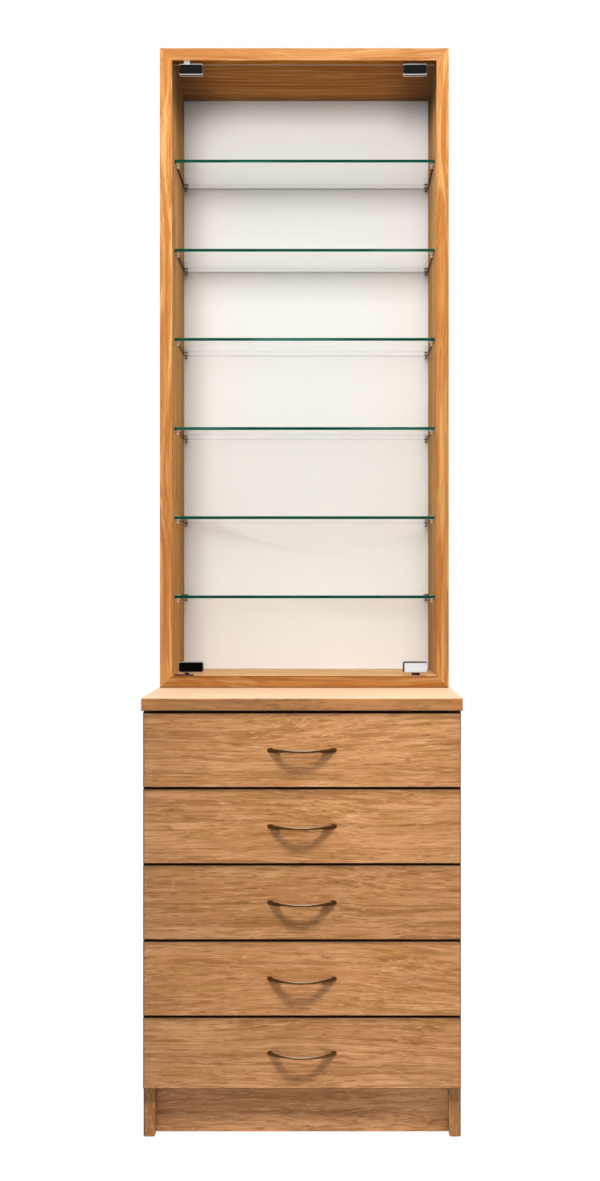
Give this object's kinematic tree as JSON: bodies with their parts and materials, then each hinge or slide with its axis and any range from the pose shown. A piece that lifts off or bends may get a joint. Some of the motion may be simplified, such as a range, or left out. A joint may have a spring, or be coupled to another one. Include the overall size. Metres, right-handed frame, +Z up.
{
  "type": "display cabinet",
  "caption": "Tall glazed display case with glass shelves and a frameless glass door, standing on a chest of drawers with bow handles.",
  "frame": {"origin": "On the floor, midway between the sides and midway between the handles and the back.", "axes": "+Z up, front with door and drawers towards -Y, +X to the right seen from the front."},
  "size_m": [0.6, 0.528, 2.14],
  "materials": {
    "case_veneer": "satin",
    "chest_veneer": "satin",
    "white_panel": "satin",
    "clear_glass": "clear, green edges",
    "nickel": "bright",
    "dark_metal": "satin black",
    "pale_plastic": "satin",
    "brown_plastic": "satin",
    "zinc_steel": "zinc plated",
    "carcass_board": "satin",
    "champagne_metal": "satin"
  },
  "bodies": {
    "carcass": {"upper_side_left": "case_veneer", "upper_side_right": "case_veneer", "upper_top": "case_veneer", "upper_bottom": "case_veneer", "upper_back": "white_panel", "glass_shelf_1": "clear_glass", "glass_shelf_2": "clear_glass", "glass_shelf_3": "clear_glass", "glass_shelf_4": "clear_glass", "glass_shelf_5": "clear_glass", "glass_shelf_6": "clear_glass", "shelf_supports": "nickel", "hinge_bush_top": "pale_plastic", "hinge_base_bottom": "dark_metal", "magnetic_catch_top": "brown_plastic", "magnetic_catch_bottom": "brown_plastic", "case_screws": "zinc_steel", "worktop": "chest_veneer", "chest_side_left": "chest_veneer", "chest_side_right": "chest_veneer", "chest_back": "white_panel", "chest_bottom": "chest_veneer", "plinth_board": "chest_veneer", "top_rails": "carcass_board", "slide_cabinet_members": "zinc_steel"},
    "door": {"door_glass": "clear_glass", "hinge_clamp_top": "dark_metal", "hinge_clamp_bottom": "dark_metal", "strike_clip_top": "dark_metal", "strike_clip_bottom": "dark_metal"},
    "drawer_1": {"drawer_1_front": "chest_veneer", "drawer_1_handle": "champagne_metal", "drawer_1_box": "carcass_board", "drawer_1_bottom": "white_panel", "drawer_1_slide_inner": "zinc_steel"},
    "drawer_1_middle": {"drawer_1_slide_middle": "zinc_steel"},
    "drawer_2": {"drawer_2_front": "chest_veneer", "drawer_2_handle": "champagne_metal", "drawer_2_box": "carcass_board", "drawer_2_bottom": "white_panel", "drawer_2_slide_inner": "zinc_steel"},
    "drawer_2_middle": {"drawer_2_slide_middle": "zinc_steel"},
    "drawer_3": {"drawer_3_front": "chest_veneer", "drawer_3_handle": "champagne_metal", "drawer_3_box": "carcass_board", "drawer_3_bottom": "white_panel", "drawer_3_slide_inner": "zinc_steel"},
    "drawer_3_middle": {"drawer_3_slide_middle": "zinc_steel"},
    "drawer_4": {"drawer_4_front": "chest_veneer", "drawer_4_handle": "champagne_metal", "drawer_4_box": "carcass_board", "drawer_4_bottom": "white_panel", "drawer_4_slide_inner": "zinc_steel"},
    "drawer_4_middle": {"drawer_4_slide_middle": "zinc_steel"},
    "drawer_5": {"drawer_5_front": "chest_veneer", "drawer_5_handle": "champagne_metal", "drawer_5_box": "carcass_board", "drawer_5_bottom": "white_panel", "drawer_5_slide_inner": "zinc_steel"},
    "drawer_5_middle": {"drawer_5_slide_middle": "zinc_steel"}
  },
  "joints": [
    {"name": "door_hinge", "type": "hinge", "parent": "carcass", "child": "door", "pos_m": [-0.2415, 0.0235, 0.859], "axis": [0, 0, -1], "range_deg": [0, 110]},
    {"name": "drawer_1_slide", "type": "slide", "parent": "carcass", "child": "drawer_1", "axis": [0, -1, 0], "range_m": [0, 0.43]},
    {"name": "drawer_1_middle_slide", "type": "slide", "parent": "carcass", "child": "drawer_1_middle", "axis": [0, -1, 0], "range_m": [0, 0.215]},
    {"name": "drawer_2_slide", "type": "slide", "parent": "carcass", "child": "drawer_2", "axis": [0, -1, 0], "range_m": [0, 0.43]},
    {"name": "drawer_2_middle_slide", "type": "slide", "parent": "carcass", "child": "drawer_2_middle", "axis": [0, -1, 0], "range_m": [0, 0.215]},
    {"name": "drawer_3_slide", "type": "slide", "parent": "carcass", "child": "drawer_3", "axis": [0, -1, 0], "range_m": [0, 0.43]},
    {"name": "drawer_3_middle_slide", "type": "slide", "parent": "carcass", "child": "drawer_3_middle", "axis": [0, -1, 0], "range_m": [0, 0.215]},
    {"name": "drawer_4_slide", "type": "slide", "parent": "carcass", "child": "drawer_4", "axis": [0, -1, 0], "range_m": [0, 0.43]},
    {"name": "drawer_4_middle_slide", "type": "slide", "parent": "carcass", "child": "drawer_4_middle", "axis": [0, -1, 0], "range_m": [0, 0.215]},
    {"name": "drawer_5_slide", "type": "slide", "parent": "carcass", "child": "drawer_5", "axis": [0, -1, 0], "range_m": [0, 0.43]},
    {"name": "drawer_5_middle_slide", "type": "slide", "parent": "carcass", "child": "drawer_5_middle", "axis": [0, -1, 0], "range_m": [0, 0.215]}
  ],
  "couplings": [
    {"joint": "drawer_1_middle_slide", "follows": "drawer_1_slide", "ratio": 0.5},
    {"joint": "drawer_2_middle_slide", "follows": "drawer_2_slide", "ratio": 0.5},
    {"joint": "drawer_3_middle_slide", "follows": "drawer_3_slide", "ratio": 0.5},
    {"joint": "drawer_4_middle_slide", "follows": "drawer_4_slide", "ratio": 0.5},
    {"joint": "drawer_5_middle_slide", "follows": "drawer_5_slide", "ratio": 0.5}
  ]
}
